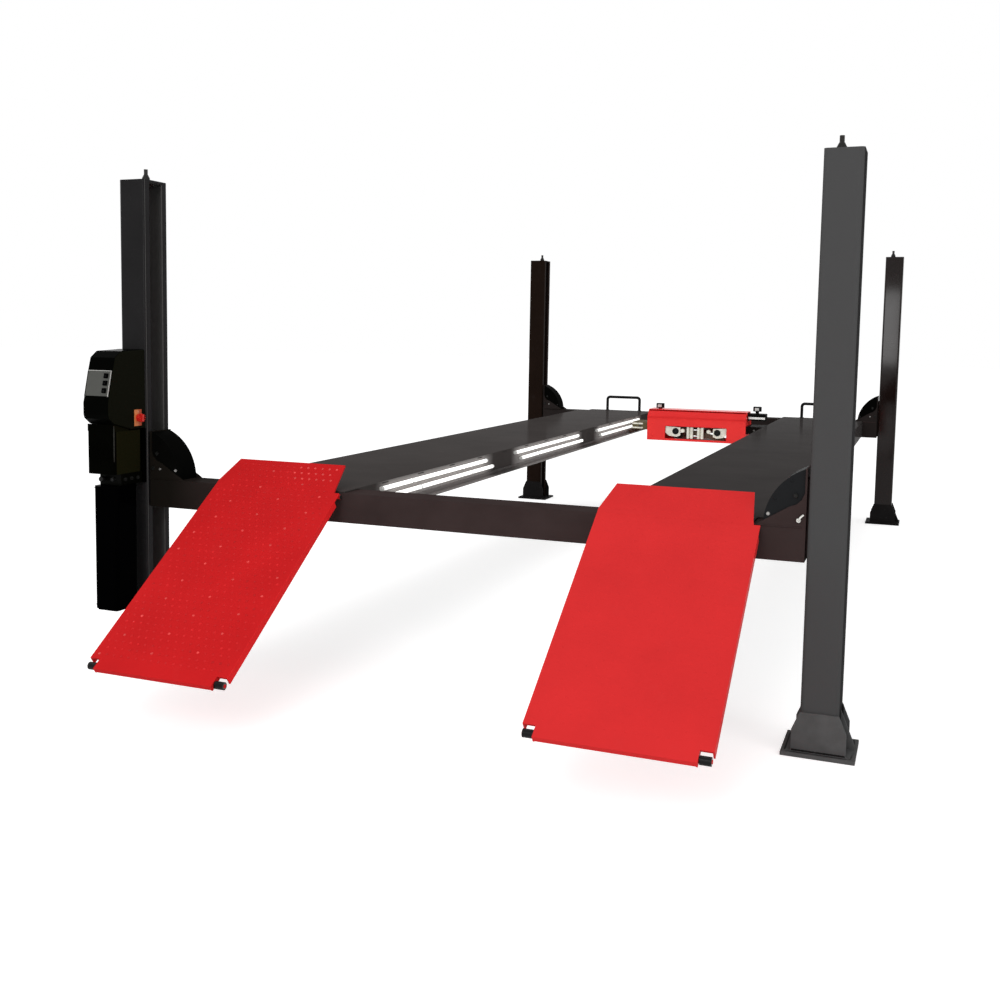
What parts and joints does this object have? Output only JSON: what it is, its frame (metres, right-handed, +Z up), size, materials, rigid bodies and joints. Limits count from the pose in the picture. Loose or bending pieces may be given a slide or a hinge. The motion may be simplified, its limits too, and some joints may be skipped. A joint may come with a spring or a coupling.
{
  "type": "four post car lift",
  "caption": "Car lift with four slotted posts, two long runways on crossbeams, hinged approach ramps, a rolling jack between the runways and a hydraulic power unit on one post.",
  "frame": {"origin": "floor level, in the middle of the four posts' anchor holes", "axes": "+Z up, +Y along the runways from the approach ramps towards the rear posts, +X to the right seen from the ramps"},
  "size_m": [3.41, 6.9269, 2.305],
  "materials": {
    "post_paint": "gloss",
    "base_paint": "gloss",
    "zinc_steel": "satin",
    "ladder_steel": "satin",
    "unit_black": "gloss",
    "valve_metal": "satin",
    "motor_black": "satin",
    "console_black": "gloss",
    "panel_grey": "satin",
    "switch_yellow": "satin",
    "switch_red": "gloss",
    "beam_paint": "gloss",
    "nylon": "matte",
    "guard_black": "satin",
    "runway_paint": "gloss",
    "rail_paint": "satin",
    "lamp_white": "gloss",
    "stop_black": "satin",
    "ramp_red": "satin",
    "roller_black": "satin",
    "jack_red": "gloss",
    "link_cream": "satin",
    "carriage_paint": "satin",
    "arm_steel": "satin",
    "pad_rubber": "matte",
    "button_black": "satin"
  },
  "bodies": {
    "lift_frame": {"post_front_left": "post_paint", "post_front_right": "post_paint", "post_rear_left": "post_paint", "post_rear_right": "post_paint", "base_plate_front_left": "base_paint", "base_plate_front_right": "base_paint", "base_plate_rear_left": "base_paint", "base_plate_rear_right": "base_paint", "cable_anchor_studs": "zinc_steel", "lock_ladders_left": "ladder_steel", "lock_ladders_right": "ladder_steel", "power_unit_bracket": "unit_black", "valve_block": "valve_metal", "electric_motor": "motor_black", "oil_tank": "unit_black", "control_console": "console_black", "console_panel": "panel_grey", "main_switch_plate": "switch_yellow"},
    "platform": {"crossbeam_front": "beam_paint", "crossbeam_rear": "beam_paint", "slide_blocks": "nylon", "pulley_guards": "guard_black", "runway_left": "runway_paint", "runway_right": "runway_paint", "jack_rail_left": "rail_paint", "jack_rail_right": "rail_paint", "runway_lights_left": "lamp_white", "runway_lights_right": "lamp_white", "wheel_stops": "stop_black"},
    "approach_ramp_left": {"ramp_left": "ramp_red"},
    "approach_ramp_right": {"ramp_right": "ramp_red"},
    "ramp_rollers_left": {"ramp_left_rollers": "roller_black"},
    "ramp_rollers_right": {"ramp_right_rollers": "roller_black"},
    "jack": {"jack_base": "jack_red", "jack_beam": "jack_red", "jack_scissor_links": "link_cream", "jack_carriages": "carriage_paint"},
    "arm_left": {"jack_arm_left": "arm_steel", "jack_pad_left": "pad_rubber"},
    "arm_right": {"jack_arm_right": "arm_steel", "jack_pad_right": "pad_rubber"},
    "main_switch": {"main_switch_knob": "switch_red"},
    "raise_button": {"button_raise": "button_black"},
    "lower_button": {"button_lower": "button_black"},
    "lock_button": {"button_lock": "button_black"}
  },
  "joints": [
    {"name": "platform_lift", "type": "slide", "parent": "lift_frame", "child": "platform", "axis": [0, 0, 1], "range_m": [-0.678, 0.95]},
    {"name": "ramp_left_hinge", "type": "hinge", "parent": "platform", "child": "approach_ramp_left", "pos_m": [-0.7745, -2.993, 0.846], "axis": [1, 0, 0], "range_deg": [-25.7, 0]},
    {"name": "ramp_right_hinge", "type": "hinge", "parent": "platform", "child": "approach_ramp_right", "pos_m": [1.0145, -2.993, 0.846], "axis": [1, 0, 0], "range_deg": [-25.7, 0]},
    {"name": "ramp_left_roller_spin", "type": "hinge", "parent": "approach_ramp_left", "child": "ramp_rollers_left", "pos_m": [-0.7745, -3.86941, 0.25496], "axis": [1, 0, 0], "continuous": true},
    {"name": "ramp_right_roller_spin", "type": "hinge", "parent": "approach_ramp_right", "child": "ramp_rollers_right", "pos_m": [1.0145, -3.86941, 0.25496], "axis": [1, 0, 0], "continuous": true},
    {"name": "jack_travel", "type": "slide", "parent": "platform", "child": "jack", "axis": [0, 1, 0], "range_m": [-4.76, 0.5]},
    {"name": "arm_left_slide", "type": "slide", "parent": "jack", "child": "arm_left", "axis": [-1, 0, 0], "range_m": [0, 0.16]},
    {"name": "arm_right_slide", "type": "slide", "parent": "jack", "child": "arm_right", "axis": [1, 0, 0], "range_m": [-0.143, 0.017]},
    {"name": "main_switch_turn", "type": "hinge", "parent": "lift_frame", "child": "main_switch", "pos_m": [-1.505, -3.041, 1.152], "axis": [1, 0, 0], "range_deg": [0, 90]},
    {"name": "raise_press", "type": "slide", "parent": "lift_frame", "child": "raise_button", "axis": [0, 0.9715, -0.2368], "range_m": [0, 0.004], "stiffness_N_per_m": 400},
    {"name": "lower_press", "type": "slide", "parent": "lift_frame", "child": "lower_button", "axis": [0, 0.9715, -0.2368], "range_m": [0, 0.004], "stiffness_N_per_m": 400},
    {"name": "lock_press", "type": "slide", "parent": "lift_frame", "child": "lock_button", "axis": [0, 0.9715, -0.2368], "range_m": [0, 0.004], "stiffness_N_per_m": 400}
  ]
}
